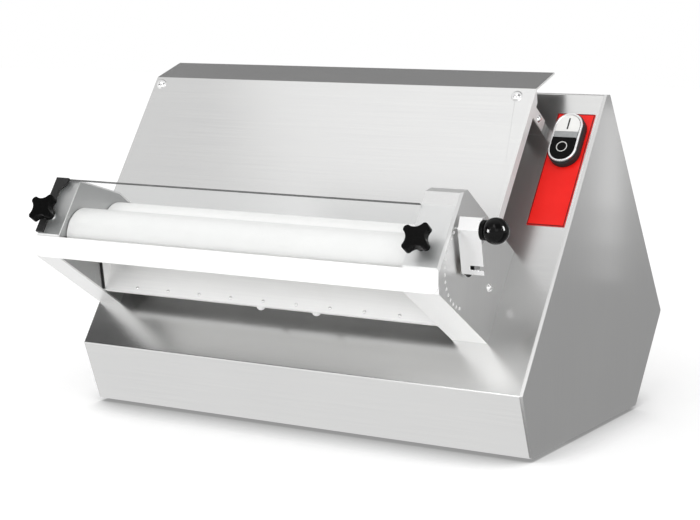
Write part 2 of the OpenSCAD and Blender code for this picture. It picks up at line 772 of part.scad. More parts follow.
module lever_collar() polygon([lever_front(collar_low), [lever_back, collar_low + collar_step],
    [lever_back, lever_top - fold_set], [lever_back - fold_set, lever_top],
    [lever_face_y + fold_set, lever_top], lever_front(lever_fold)]);

module lever_side() {
    lever_collar();
    polygon([lever_front(lever_low), [pivot.x, roller_z - ear_r], [pivot.x, roller_z + ear_r],
        [lever_back, collar_low + collar_step], lever_front(collar_low)]);
    translate(pivot) circle(r = ear_r);
}

module lever_slot() translate([lever_out - slot_l, lever_face_y - 1, roller_z - 1.4])
    cube([slot_l + 1, lever_lean + lever_t + 2, slot_h]);

module lever_arm() piece(steel) difference() {
    union() {
        across(lever_x, lever_x + lever_t) lever_side();
        across(lever_out - lever_t, lever_out) lever_collar();
        across(lever_x + lever_t, lever_out)
            polygon([lever_front(lever_low), lever_front(lever_low) + [lever_t, 0],
                lever_front(lever_fold) + [lever_t, -0.3], [lever_face_y + fold_set + lever_t, lever_top],
                [lever_face_y + fold_set, lever_top], lever_front(lever_fold)]);
    }
    lever_slot();
    bar(pivot, lever_x - 1, lever_out + 1, pivot_d / 2);
    bar(index_point, lever_x - 1, lever_out + 1, index_pin_d / 2 + slide_gap);
}

module pivot_shaft() piece(steel) {
    bar(pivot, cam_x, nut_x, pivot_d / 2);
    bar(pivot, nut_x, nut_x + washer_t + nut_t + 2, stub_d / 2);
}

module pivot_nut() piece(steel) translate([nut_x, pivot.x, pivot.y]) rotate([0, 90, 0]) difference() {
    union() {
        cylinder(h = washer_t, d = pivot_d + 5);
        translate([0, 0, washer_t]) cylinder(h = nut_t, d = pivot_d + 2.5, $fn = 6);
    }
    translate([0, 0, -1]) cylinder(h = washer_t + nut_t + 2, d = stub_d);
}

// Cam: the spiral slot moves the follower in step with the lever
function cam_radius(turn) = cam_r - close_travel * turn / close_angle;
function cam_arc(shift) = [for (t = [-index_step - 10 : 2 : close_angle + 10])
    (cam_radius(t) + shift) * [cos(180 - t), sin(180 - t)]];
function backwards(list) = [for (i = [len(list) - 1 : -1 : 0]) list[i]];

module cam_disc() piece(dark_steel) across(cam_x, cam_x + cam_t) translate(pivot) difference() {
    circle(r = cam_r + follower_d / 2 + 4);
    circle(r = pivot_d / 2);
    polygon(concat(cam_arc(follower_d / 2 + slide_gap), backwards(cam_arc(-follower_d / 2 - slide_gap))));
}

module index_sleeve() piece(black)
    bush(index_point, lever_out, lever_out + sleeve_l, sleeve_d / 2, index_pin_d / 2 + run_gap);

module index_pin() piece(steel) bar(index_point, head_right + slide_gap, ball_x - 2, index_pin_d / 2);

// The ball is turned with a flat and a blind bore on the pin's side
module ball_knob() piece(black) translate([ball_x, index_point.x, index_point.y]) rotate([0, 90, 0])
    rotate_extrude() difference() {
        intersection() {
            circle(d = ball_d);
            translate([0, ball_flat_x - ball_x]) square(2 * ball_d);
        }
        translate([-1, -ball_d]) square([1 + index_pin_d / 2, ball_d - 2]);
    }

// Feed plate: a flat chute with side flanges, a folded top and two lugs
lug_high = lug_low + lug_l;
lug_mid = lug_low + lug_l / 2;
hanger_n = feed_gap / 2;
flange_dir = [cos(feed_flange_angle), sin(feed_flange_angle)];
flange_in = [flange_dir.y, -flange_dir.x];
bend = on_side(feed_high, feed_gap);
flange_end = bend + feed_flange * flange_dir;
bend_in = inset([on_side(feed_low, feed_gap), bend, flange_end],
    [-cover_t, -cover_t, 0])[1];

module feed_plate() piece(steel) difference() {
    union() {
        across(feed_left, feed_right) polygon([on_side(feed_low, feed_gap), bend, flange_end,
            flange_end + cover_t * flange_in, bend_in, on_side(feed_low, feed_gap - cover_t)]);
        on_sheet(left_inner + 1, tongue_low, feed_gap - cover_t)
            cube([right_inner - left_inner - 2, feed_low - tongue_low, cover_t]);
        for (x = [feed_left, feed_right - cover_t]) on_sheet(x, 0, feed_gap) rotate([90, 0, 90])
            linear_extrude(cover_t) polygon([[feed_low, -cover_t], [feed_low, -feed_side],
                [lug_low, -feed_side], [lug_low, -lug_depth], [lug_high, -lug_depth], [lug_high, -feed_side],
                [feed_high - feed_side, -feed_side], [feed_high - cover_t, -cover_t]]);
    }
    for (x = [feed_left - 1, feed_right - cover_t - 1]) on_sheet(x, lug_mid, hanger_n)
        rotate([0, 90, 0]) cylinder(h = cover_t + 2, d = hanger_d / 2);
    for (x = dome_x) on_sheet(x, dome_u, feed_gap - 5) cylinder(h = 10, d = dome_d * 0.4);
}

// Brackets behind the plate: a channel that stands on the sheet beside the
// lug, and a tongue that takes the dome screw
bracket_t = 3;

module feed_brackets() piece(steel) for (side = [0, 1])
    let(x = side == 0 ? feed_left + cover_t : feed_right - cover_t - bracket_w)
    on_sheet(x, lug_low) difference() {
        union() {
            cube([bracket_w, lug_l, feed_gap - cover_t]);
            translate([0, 0, feed_gap - cover_t - bracket_t])
                cube([bracket_w, dome_u + dome_edge / 2 - lug_low, bracket_t]);
        }
        translate([bracket_t, bracket_t, bracket_t])
            cube([bracket_w - 2 * bracket_t, lug_l, feed_gap - cover_t - 2 * bracket_t]);
        translate([dome_x[side] - x, dome_u - lug_low, feed_gap - 10]) cylinder(h = 10, d = dome_d * 0.4);
    }

module feed_dome_screws() piece(steel) for (x = dome_x) on_sheet(x, dome_u, feed_gap) {
    dome_head(dome_d, dome_d / 3);
    translate([0, 0, -cover_t - 3]) cylinder(h = cover_t + 3, d = dome_d * 0.4);
}

module hanger_pins() piece(steel) for (side = [-1, 1])
    on_sheet(side < 0 ? feed_left : feed_right, lug_mid, hanger_n)
        rotate([0, side * 90, 0]) {
            dome_head(hanger_d, 2.6);
            translate([0, 0, -cover_t]) cylinder(h = cover_t, d = hanger_d / 2);
        }

// Guard and star knobs
module clear_guard() piece([0.85, 0.90, 0.92, 0.35]) on_sheet(0, 0, guard_n) difference() {
    translate([head_left + 2, band_high + 1.5, 0])
        cube([head_right - head_left - 4, guard_high - band_high - 1.5, guard_t]);
    for (x = knob_x) translate([x, knob_u, -1]) cylinder(h = guard_t + 2, d = stud_d + 2 * slide_gap);
}

// Dark trim along the left edge of the guard, wider at its top corner and cut
// out round the knob's hub
module guard_trim() piece(black) on_sheet(head_left + trim_in, 0, guard_n + guard_t) difference() {
    linear_extrude(trim_t) polygon([[0, band_high + 2], [trim_w, band_high + 2],
        [trim_w, guard_high - 2 * trim_pad], [trim_w + trim_pad, guard_high - trim_pad],
        [trim_w + trim_pad, guard_high], [0, guard_high]]);
    translate([knob_left - trim_in, knob_u, -1]) cylinder(h = trim_t + 2, d = hub_d + 2 * slide_gap);
}

module star() difference() {
    union() {
        polygon([for (i = [0 : 7]) (i % 2 == 0 ? lobe_path : hollow_path) * [cos(i * 45), sin(i * 45)]]);
        for (i = [0 : 3]) rotate(i * 90) translate([lobe_path, 0]) circle(lobe_r);
    }
    for (i = [0 : 3]) rotate(45 + i * 90) translate([hollow_path, 0]) circle(hollow_r);
}

module star_knob(x) on_sheet(x, knob_u, knob_n) difference() {
    union() {
        cylinder(h = hub_h, d = hub_d);
        translate([0, 0, hub_h]) linear_extrude(knob_t) rotate(45 + knob_turn) star();
    }
    translate([0, 0, -1]) cylinder(h = 1 + hub_h + knob_t / 2 + slide_gap, d = stud_d + 2 * run_gap);
}

module left_star_knob() piece(black) star_knob(knob_x[0]);

module right_star_knob() piece(black) star_knob(knob_x[1]);

// Controls
module control_plate() piece(red) difference() {
    on_sheet(panel_x - panel_w / 2, panel_low) cube([panel_w, panel_l, panel_t]);
    button_hole();
}

module button_base() piece(black) on_sheet(panel_x, bezel_u, panel_t) difference() {
    union() {
        linear_extrude(base_n - panel_t) oval(bezel_w + 2, bezel_l + 2);
        translate([0, 0, -neck_l]) linear_extrude(neck_l)
            oval(bezel_w - 2 * neck_step, bezel_l - 2 * neck_step);
    }
    translate([0, 0, well_n - panel_t]) linear_extrude(base_n)
        oval(bezel_w - 2 * bezel_rim, bezel_l - 2 * bezel_rim);
}

module button_bezel() piece(steel) on_sheet(panel_x, bezel_u, base_n) linear_extrude(bezel_h) difference() {
    oval(bezel_w, bezel_l);
    oval(bezel_w - 2 * bezel_rim, bezel_l - 2 * bezel_rim);
}

// The oval inside the bezel is shared by the start cap, the lens and the stop cap
lens_low = -1;
lens_high = 6;
cap_w = bezel_w - 2 * bezel_rim - 2 * slide_gap;
cap_l = bezel_l - 2 * bezel_rim - 2 * slide_gap;

module cap(low, high, n0, h) on_sheet(panel_x, bezel_u, n0) linear_extrude(h) intersection() {
    oval(cap_w, cap_l);
    translate([-bezel_w / 2, low]) square([bezel_w, high - low]);
}

module start_button() piece(white) cap(lens_high + slide_gap, bezel_l, cap_n, cap_top - cap_n);

module stop_button() piece(black) cap(-bezel_l, lens_low - slide_gap, cap_n, cap_top - cap_n + 1.5);

module button_lens() piece([0.6, 0.6, 0.6]) cap(lens_low, lens_high, well_n, cap_top - well_n);

module contact_block() piece(black) on_sheet(panel_x, bezel_u, panel_t - 12)
    translate([-bezel_w / 2, -bezel_l / 2, -32]) cube([bezel_w, bezel_l, 32]);

front_sheet();
left_side_panel();
right_side_panel();
rear_cover();
base_plate();
rubber_feet();
rear_cover_screws();
cable_gland();
left_end_box();
right_end_box();
left_bearing_plate();
right_bearing_plate();
rear_bushes();
front_band();
apron();
apron_screw_row();
apron_buffers();
apron_seals();
front_scraper();
rear_scraper();
guard_studs();
lever_bush();
cheek_screw();
feed_plate();
feed_brackets();
feed_dome_screws();
hanger_pins();
control_plate();
button_base();
button_bezel();
button_lens();
contact_block();
gear_motor();
motor_bracket();
drive_belt();
motor_pulley();
rear_roller();
rear_shaft();
rear_gear();
rear_pulley();
left_slide_block();
right_slide_block();
front_bushes();
cam_follower();
front_roller();
front_shaft();
front_gear();
lever_arm();
pivot_shaft();
cam_disc();
index_sleeve();
pivot_nut();
index_pin();
ball_knob();
clear_guard();
guard_trim();
left_star_knob();
right_star_knob();
start_button();
stop_button();
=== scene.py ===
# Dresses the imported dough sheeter: finishes for every carried-over solid, small fittings
# that are modelled here, a pale studio and the photograph's viewpoint.
import math

import bmesh
import bpy
from mathutils import Matrix, Vector


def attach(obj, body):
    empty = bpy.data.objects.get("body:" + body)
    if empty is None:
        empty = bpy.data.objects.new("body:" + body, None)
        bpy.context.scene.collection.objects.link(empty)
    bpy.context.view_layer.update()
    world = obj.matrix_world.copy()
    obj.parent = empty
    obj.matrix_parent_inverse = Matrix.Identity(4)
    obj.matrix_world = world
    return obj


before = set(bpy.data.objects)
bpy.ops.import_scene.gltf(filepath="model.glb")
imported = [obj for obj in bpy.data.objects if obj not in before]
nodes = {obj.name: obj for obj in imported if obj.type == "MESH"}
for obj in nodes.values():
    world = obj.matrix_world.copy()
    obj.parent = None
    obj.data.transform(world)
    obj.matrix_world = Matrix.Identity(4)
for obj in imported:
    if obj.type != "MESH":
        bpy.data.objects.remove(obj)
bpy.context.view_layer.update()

# Viewpoint: a long lens a little above the head and to the right of the machine. The focal
# length is in pixels of a 700 pixel wide image, and the camera stands about 2 m away.
IMAGE_W = 700
FOCAL_PX = 1812
CAMERA_AT = (0.9625, -1.6383, 0.4488)
CAMERA_YAW = 30.58
CAMERA_PITCH = 8.60
lens = bpy.data.cameras.new("camera")
lens.sensor_fit = "HORIZONTAL"
lens.lens = FOCAL_PX / IMAGE_W * lens.sensor_width
camera = bpy.data.objects.new("camera", lens)
camera.location = CAMERA_AT
camera.rotation_euler = (math.radians(90 - CAMERA_PITCH), 0, math.radians(CAMERA_YAW))
bpy.context.scene.collection.objects.link(camera)
bpy.context.scene.camera = camera
bpy.context.scene.view_settings.view_transform = "Standard"


# Housing: front sheet, side panels, rear cover and base are folded from stainless sheet with
# a fine brushed grain along each panel, and the rear cover is screwed on. The folded edges are
# slightly round and catch the light.
class Value:
    """A socket of a node tree that takes part in Python sums."""

    def __init__(self, tree, socket):
        self.tree = tree
        self.socket = socket

    def node(self, kind, settings, inputs, output=0):
        """Adds a node with its settings and the values or links of its sockets."""
        made = self.tree.nodes.new(kind)
        for name, value in settings.items():
            if name == "stops":
                for element, (position, colour) in zip(made.color_ramp.elements, value):
                    element.position = position
                    element.color = colour
            else:
                setattr(made, name, value)
        for name, value in inputs.items():
            if isinstance(value, Value):
                self.tree.links.new(value.socket, made.inputs[name])
            else:
                made.inputs[name].default_value = value
        return Value(self.tree, made.outputs[output])

    def maths(self, operation, first, second):
        return self.node("ShaderNodeMath", {"operation": operation}, {0: first, 1: second})

    def __add__(self, other):
        return self.maths("ADD", self, other)

    def __radd__(self, other):
        return self.maths("ADD", other, self)

    def __sub__(self, other):
        return self.maths("SUBTRACT", self, other)

    def __rsub__(self, other):
        return self.maths("SUBTRACT", other, self)

    def __mul__(self, other):
        return self.maths("MULTIPLY", self, other)

    def __rmul__(self, other):
        return self.maths("MULTIPLY", other, self)

    def __gt__(self, other):
        return self.maths("GREATER_THAN", self, other)

    def __lt__(self, other):
        return self.maths("LESS_THAN", self, other)

    def __or__(self, other):
        return self.maths("MAXIMUM", self, other)


def new_finish(name, constants):
    """A material, its Object coordinates and its shader, with the constant sockets set."""
    material = bpy.data.materials.new(name)
    material.use_nodes = True
    tree = material.node_tree
    shader = tree.nodes["Principled BSDF"]
    for socket, value in constants.items():
        shader.inputs[socket].default_value = value
    place = Value(tree, tree.nodes.new("ShaderNodeTexCoord").outputs["Object"])
    return material, place, shader


def drive(shader, socket, value):
    """Feeds a socket of the shader with a value that changes over the surface."""
    value.tree.links.new(value.socket, shader.inputs[socket])


def noise(place, stretch, detail=3.0):
    """Noise from 0 to 1 whose grain is as fine as stretch says along each axis, per metre."""
    mapped = place.node("ShaderNodeMapping", {}, {"Vector": place, "Scale": stretch})
    return mapped.node("ShaderNodeTexNoise", {}, {
        "Vector": mapped, "Scale": 1.0, "Detail": detail})


def grey(level):
    return (level, level, level)


def tint(value, low, high):
    """A colour that runs from low to high as value runs from 0.25 to 0.75, as most noise does."""
    stops = [(0.25, (*low, 1)), (0.75, (*high, 1))]
    return value.node("ShaderNodeValToRGB", {"stops": stops}, {"Fac": value})


def bump(shader, height, strength, distance):
    """Fine relief that follows a height from 0 to 1."""
    drive(shader, "Normal", height.node("ShaderNodeBump", {}, {
        "Strength": strength, "Distance": distance, "Height": height}))


ALONG_X, ALONG_Z = 0, 2
GRAIN_ACROSS, GRAIN_ALONG = 900.0, 9.0
HANDLING_MARKS = 7.0


def brushed(name, grain_axis, tone, rough, matt=None, metal=1.0):
    """Brushed stainless sheet: grain lines along one axis, cloudy handling marks over them.

    Where matt(place) is 1 the sheet is blasted instead, so that it scatters light.
    """
    material, place, shader = new_finish(name, {"Metallic": metal})
    stretch = [GRAIN_ACROSS] * 3
    stretch[grain_axis] = GRAIN_ALONG
    grain = noise(place, stretch)
    clouds = noise(place, [HANDLING_MARKS] * 3)
    shade = grain * 0.6 + clouds * 0.4
    drive(shader, "Base Color", tint(shade, grey(tone * 0.93), (tone, tone, tone * 0.99)))
    roughness = rough - 0.05 + grain * 0.06 + clouds * 0.04
    if matt:
        blasted = matt(place)
        roughness = roughness + blasted * 0.3
        drive(shader, "Metallic", 1 - blasted * 0.75)
    drive(shader, "Roughness", roughness)
    bump(shader, grain, 0.06, 0.0002)
    return material


def cover(material, *names):
    """Gives carried-over solids their finish."""
    for name in names:
        nodes[name].data.materials.clear()
        nodes[name].data.materials.append(material)


def soften(width, segments, *names):
    """Rounds the sharp edges of carried-over solids."""
    for name in names:
        weld = nodes[name].modifiers.new("weld", "WELD")
        weld.merge_threshold = 0.00001
        bevel = nodes[name].modifiers.new("bevel", "BEVEL")
        bevel.width = width
        bevel.segments = segments
        bevel.limit_method = "ANGLE"
        bevel.angle_limit = math.radians(35)


cover(brushed("front_sheet_steel", ALONG_X, 0.71, 0.24), "front_sheet")
cover(brushed("side_steel", ALONG_Z, 0.74, 0.30), "left_side_panel", "right_side_panel")
cover(brushed("rear_steel", ALONG_X, 0.70, 0.30), "rear_cover", "base_plate", "motor_bracket")
soften(0.0010, 2, "left_side_panel", "right_side_panel", "rear_cover")

# Head: end boxes and front band are folded from the same sheet, more polished, and stand on
# the inclined sheet. The apron under the rollers is given a near-white colour, painted light that
# lifts the shade it lies in under the rollers.
# The right cheek has an arc of shallow drilled dimples for the lever's index pin.
CHEEK_X, DIMPLE_BACK_X = 0.2099, 0.2086
PIVOT = Vector((0, -0.15534, 0.19288))
INDEX_R, DIMPLE_HALF = 0.0405, 0.003


def part_of(place, axis):
    return place.node("ShaderNodeSeparateXYZ", {}, {"Vector": place}, axis)


def in_dimples(place):
    """1 in the index dimples of the right cheek, which lie round the lever's pivot."""
    across = part_of(place, "X")
    flat = place.node("ShaderNodeVectorMath", {"operation": "MULTIPLY"}, {
        0: place, 1: (0, 1, 1)}, "Vector")
    radius = place.node("ShaderNodeVectorMath", {"operation": "DISTANCE"}, {
        0: flat, 1: PIVOT}, "Value")
    on_arc = (radius > INDEX_R - DIMPLE_HALF) * (radius < INDEX_R + DIMPLE_HALF)
    return (across > DIMPLE_BACK_X) * (across < CHEEK_X) * on_arc


cover(brushed("head_steel", ALONG_Z, 0.88, 0.36, in_dimples), "left_end_box", "right_end_box")
cover(brushed("band_steel", ALONG_X, 0.96, 0.28), "front_band")
# The apron's near-white tone is painted light over the shade under the rollers.
cover(brushed("apron_steel_painted_light", ALONG_X, 0.97, 0.50, metal=0.55), "apron")
soften(0.0008, 2, "left_end_box", "right_end_box", "front_band", "apron")

# Feed plate: one bright sheet with a folded top and folded sides, blasted on its underside and
# on the outside of its right flange. It hangs on pins between two brackets whose darker colour
# is painted shade.
SHEET_RISE, SHEET_RUN = 271.5, 188.5
SHEET_TILT = math.atan2(SHEET_RISE, SHEET_RUN)
SHEET_UP = Vector((0, math.cos(SHEET_TILT), math.sin(SHEET_TILT)))
SHEET_OUT = Vector((0, -math.sin(SHEET_TILT), math.cos(SHEET_TILT)))
LIP = Vector((0, -0.13566, 0.0695))
FEED_OUT, FEED_BEND = 0.0442, 0.307
FLANGE_X = 0.2065


def along(place, direction):
    """Distance from the lip of the inclined sheet in a direction that is square to its edge."""
    return place.node("ShaderNodeVectorMath", {"operation": "DOT_PRODUCT"}, {
        0: place, 1: direction}, "Value") - LIP.dot(direction)


def feed_back(place):
    """1 on the underside of the feed plate and on the outside of its right flange."""
    under = (along(place, SHEET_OUT) < FEED_OUT) * (along(place, SHEET_UP) < FEED_BEND)
    return (part_of(place, "X") > FLANGE_X) | under


cover(brushed("feed_steel", ALONG_X, 0.83, 0.20, feed_back), "feed_plate")
# The brackets' darker tone is painted shade, not a darker steel.
cover(brushed("bracket_steel_painted_shade", ALONG_Z, 0.45, 0.36), "feed_brackets")
soften(0.0006, 2, "feed_plate")

# Turned and stamped steel: screws, studs, pins, shafts and the button's bezel are polished.
# The bearing plates and the lever's pivot are ground dull, and the wheels, gears, slide blocks
# and cam are left as the machine tool cut them.
SMEARS = 160.0


def polished(name, tone, rough):
    material, place, shader = new_finish(name, {"Metallic": 1.0})
    smear = noise(place, [SMEARS] * 3)
    drive(shader, "Base Color", tint(smear, grey(tone * 0.94), grey(tone)))
    drive(shader, "Roughness", rough + smear * 0.06)
    return material


cover(polished("bright_steel", 0.84, 0.14), "rear_cover_screws", "guard_studs", "cheek_screw",
      "feed_dome_screws", "hanger_pins", "button_bezel", "rear_shaft", "front_shaft",
      "cam_follower", "pivot_nut", "index_pin", "apron_screw_row")
cover(polished("plate_steel", 0.40, 0.34), "left_bearing_plate", "right_bearing_plate",
      "pivot_shaft")
cover(polished("machined_steel", 0.62, 0.34), "motor_pulley", "rear_gear", "rear_pulley",
      "left_slide_block", "right_slide_block", "front_gear", "cam_disc")
soften(0.0006, 3, "button_bezel")

# Lever: folded from one sheet that is bright outside and left dull inside the fold, where its
# colour is painted near black as painted shade, which shows through the slot near its lower
# end. It is nutted to the pivot on the right cheek.
LEVER_INSIDE_X, LEVER_OUTSIDE_X = 0.2144, 0.2362
LEVER_FOLD_Y, LEVER_FOLD_Z, LEVER_LEAN = -0.17746, 0.22888, 9 / 42
LEVER_SKIN = 0.0009
material, place, shader = new_finish("lever_steel", {"Metallic": 1.0})
across, depth, height = (part_of(place, axis) for axis in "XYZ")
behind_face = depth - LEVER_FOLD_Y + (height - LEVER_FOLD_Z) * LEVER_LEAN
between_sides = (across > LEVER_INSIDE_X) * (across < LEVER_OUTSIDE_X)
shaded_inside = (behind_face > LEVER_SKIN) * (height < LEVER_FOLD_Z) * between_sides
smear = noise(place, [SMEARS] * 3)
# Inside the fold the colour is painted near black: painted shade.
drive(shader, "Base Color", tint(shaded_inside, grey(0.74), grey(0.06)))
drive(shader, "Roughness", 0.22 + smear * 0.06 + shaded_inside * 0.3)
cover(material, "lever_arm")
soften(0.0006, 3, "lever_arm")

# Bushes: turned bronze rings, pressed into the bearing plates, the slide blocks and the right
# cheek. Oil has darkened them in patches.
material, place, shader = new_finish("bush_bronze", {"Metallic": 1.0})
patches = noise(place, [220.0] * 3, 4.0)
drive(shader, "Base Color", tint(patches, (0.45, 0.30, 0.12), (0.72, 0.52, 0.25)))
drive(shader, "Roughness", 0.28 + patches * 0.2)
cover(material, "rear_bushes", "front_bushes", "lever_bush")


# Rollers, scrapers and buffers: white food-grade plastic, turned or cut smooth with a faint
# grain. The sleeves sit tight on their shafts and the buffers on the apron.
def moulded(name, low, high, rough, scale, gloss=0.5):
    """Plastic, rubber or paint with an even, fine grain of the given scale per metre."""
    material, place, shader = new_finish(name, {"Specular IOR Level": gloss})
    grain = noise(place, [scale] * 3)
    drive(shader, "Base Color", tint(grain, low, high))
    drive(shader, "Roughness", rough - 0.04 + grain * 0.08)
    bump(shader, grain, 0.05, 0.0001)
    return material


cover(moulded("roller_white", (0.91, 0.91, 0.90), (0.95, 0.95, 0.94), 0.34, 300.0),
      "front_roller", "rear_roller", "apron_buffers", "front_scraper", "rear_scraper")

# Knobs: moulded black plastic with a polished skin. The star knobs turn on the guard's studs,
# and the ball and its sleeve sit on the lever, where the ball pulls the index pin.
knob_black = moulded("knob_black", grey(0.004), grey(0.007), 0.20, 500.0, 0.04)
cover(knob_black, "left_star_knob", "right_star_knob")
cover(moulded("ball_black", grey(0.0008), grey(0.0012), 0.08, 500.0, 0.12), "ball_knob",
      "index_sleeve")
soften(0.0025, 3, "left_star_knob", "right_star_knob")

# Plain black fittings: the cable gland, the button's base and contacts and the guard's trim
# strip are moulded plastic. Feet, belt and apron seals are black rubber.
cover(moulded("fitting_black", grey(0.015), grey(0.03), 0.45, 700.0, 0.3), "cable_gland",
      "button_base", "contact_block", "guard_trim")
cover(moulded("foot_rubber", grey(0.012), grey(0.03), 0.75, 900.0, 0.3), "rubber_feet",
      "drive_belt", "apron_seals")


# Push button: a glossy white start cap with a bar, a black stop cap with a ring, and a grey
# lens between them, all moulded. The two marks are thin inlays in the caps.
def on_sheet(x, up, out):
    """Frame on the inclined sheet: X across, Y up along the sheet, Z out of it, in metres."""
    at = LIP + Vector((x, 0, 0)) + up * SHEET_UP + out * SHEET_OUT
    turn = Matrix((Vector((1, 0, 0)), SHEET_UP, SHEET_OUT)).transposed().to_4x4()
    return Matrix.Translation(at) @ turn


def placed(name, mesh, material):
    """Makes a finished bmesh an object at the origin."""
    data = bpy.data.meshes.new(name)
    mesh.to_mesh(data)
    mesh.free()
    data.materials.append(material)
    made = bpy.data.objects.new(name, data)
    bpy.context.scene.collection.objects.link(made)
    return made


def fitted(name, mesh, at, material, body, smooth=False):
    """Puts a finished bmesh at its place in the frame, on its body."""
    bmesh.ops.transform(mesh, matrix=at, verts=mesh.verts)
    bmesh.ops.recalc_face_normals(mesh, faces=mesh.faces)
    for face in mesh.faces:
        face.smooth = smooth
    made = placed(name, mesh, material)
    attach(made, body)


BUTTON_X, BUTTON_UP = 0.235, 0.274
BAR_UP, BAR_OUT = BUTTON_UP + 0.0150, 0.0120
BAR_SIZE, BAR_EDGE = (0.0016, 0.0125, 0.0006), 0.0002
RING_UP, RING_OUT = BUTTON_UP - 0.0120, 0.0135
RING_R, RING_WIRE_R = 0.0053, 0.00045
cover(moulded("start_white", (0.84, 0.84, 0.82), (0.88, 0.88, 0.86), 0.22, 300.0),
      "start_button")
cover(knob_black, "stop_button")
cover(moulded("lens_grey", (0.30, 0.31, 0.31), (0.36, 0.37, 0.37), 0.20, 300.0), "button_lens")
soften(0.0008, 3, "start_button", "stop_button")
bar = bmesh.new()
bmesh.ops.create_cube(bar, size=1)
bmesh.ops.scale(bar, vec=BAR_SIZE, verts=bar.verts)
bmesh.ops.bevel(bar, geom=bar.edges[:], offset=BAR_EDGE, affect="EDGES", segments=2,
                profile=0.5, material=-1)
mark_black = moulded("mark_black", grey(0.010), grey(0.016), 0.4, 900.0, 0.3)
fitted("start_bar", bar, on_sheet(BUTTON_X, BAR_UP, BAR_OUT), mark_black, "start")
ring = bmesh.new()
bmesh.ops.create_circle(ring, segments=12, radius=RING_WIRE_R)
bmesh.ops.rotate(ring, matrix=Matrix.Rotation(math.pi / 2, 3, "X"), verts=ring.verts)
bmesh.ops.translate(ring, vec=(RING_R, 0, 0), verts=ring.verts)
bmesh.ops.spin(ring, geom=ring.edges[:], cent=(0, 0, 0), axis=(0, 0, 1), angle=2 * math.pi,
               steps=40, use_merge=True)
bmesh.ops.remove_doubles(ring, verts=ring.verts, dist=0.00001)
mark_white = moulded("mark_white", (0.70, 0.70, 0.68), (0.78, 0.78, 0.76), 0.4, 900.0, 0.3)
fitted("stop_ring", ring, on_sheet(BUTTON_X, RING_UP, RING_OUT), mark_white, "stop",
       True)

# Control plate: a strip of sheet in red enamel, very slightly uneven, fixed flat on the
# inclined sheet under the push button. A thin darker line is printed round its rim.
PLATE_W, PLATE_L, PLATE_T = 0.040, 0.127, 0.001
PLATE_UP = 0.180 + PLATE_L / 2
RIM_INSET, RIM_W, RIM_T = 0.0002, 0.0009, 0.00015
cover(moulded("panel_red", (0.90, 0.010, 0.006), (0.96, 0.014, 0.009), 0.30, 60.0, 0.3),
      "control_plate")
rim = bmesh.new()
bmesh.ops.create_grid(rim, x_segments=1, y_segments=1, size=0.5)
bmesh.ops.scale(rim, vec=(PLATE_W - 2 * RIM_INSET, PLATE_L - 2 * RIM_INSET, 1), verts=rim.verts)
bmesh.ops.inset_region(rim, faces=rim.faces[:], thickness=RIM_W, use_boundary=True,
                       use_even_offset=True)
middle = max(rim.faces, key=lambda face: face.calc_area())
bmesh.ops.delete(rim, geom=[middle], context="FACES")
raised = bmesh.ops.extrude_face_region(rim, geom=rim.faces[:])
top = [made for made in raised["geom"] if isinstance(made, bmesh.types.BMVert)]
bmesh.ops.translate(rim, vec=(0, 0, RIM_T), verts=top)
rim_red = moulded("rim_red", (0.10, 0.004, 0.004), (0.14, 0.006, 0.006), 0.4, 200.0, 0.3)
fitted("plate_rim", rim, on_sheet(BUTTON_X, PLATE_UP, PLATE_T), rim_red, "housing")

# Gear motor: a casting with dark grey paint, bolted to its bracket inside the closed housing,
# where it drives the rear roller through the belt.
cover(moulded("motor_paint", (0.05, 0.055, 0.06), (0.09, 0.095, 0.10), 0.5, 120.0), "gear_motor")

# Guard: a clear plastic sheet, held by the two star knobs. Its faces are slightly hazed by
# wiping, and between the knobs its sawn top edge is painted dark and nearly opaque, painted
# shade that stands in for how light looks through the clear edge.
GUARD_HIGH, GUARD_EDGE, RIGHT_KNOB_X = 0.127, 0.0005, 0.172
material, place, shader = new_finish("guard_clear", {"Specular IOR Level": 0.5})
on_top = along(place, SHEET_UP) > GUARD_HIGH - GUARD_EDGE
painted_dark_edge = on_top * (part_of(place, "X") < RIGHT_KNOB_X)
haze = noise(place, [30.0] * 3)
# The dark top edge is painted shade.
drive(shader, "Base Color", tint(painted_dark_edge, (0.80, 0.83, 0.83), grey(0.05)))
drive(shader, "Roughness", 0.04 + haze * 0.04)
drive(shader, "Alpha", 0.05 + haze * 0.05 + painted_dark_edge * 0.85)
cover(material, "clear_guard")


# Studio floor: pale paper that shows as white and keeps the object's shadow. Close to the
# housing its colour is painted darker from ambient occlusion, a painted shadow where the light
# that reaches it there is shut off.
def plane(name, centre, normal, width, height, material):
    mesh = bmesh.new()
    bmesh.ops.create_grid(mesh, x_segments=1, y_segments=1, size=0.5)
    bmesh.ops.scale(mesh, vec=(width, height, 1), verts=mesh.verts)
    turn = Vector(normal).to_track_quat("Z", "Y").to_matrix().to_4x4()
    bmesh.ops.transform(mesh, matrix=Matrix.Translation(centre) @ turn, verts=mesh.verts)
    made = placed(name, mesh, material)
    return made


def seen_as_white(place):
    """1 for rays of the camera, of mirrors and through clear sheets, and 0 for rays that light."""
    seen = place.node("ShaderNodeLightPath", {}, {}, "Is Camera Ray")
    mirror = place.node("ShaderNodeLightPath", {}, {}, "Is Glossy Ray")
    through = place.node("ShaderNodeLightPath", {}, {}, "Is Transmission Ray")
    return (seen | mirror) | through


FLOOR_SIZE = 12.0
SHADE_REACH = 0.10
GLOW_RISE, GLOW_START = 0.625, 0.03
material, place, shader = new_finish("floor_pale", {
    "Roughness": 0.9, "Specular IOR Level": 0.0, "Emission Strength": 1.0})
clear = place.node("ShaderNodeAmbientOcclusion", {"samples": 16}, {"Distance": SHADE_REACH}, "AO")
paper_and_painted_shadow = clear + noise(place, [2.0] * 3, 2.0) * 0.02
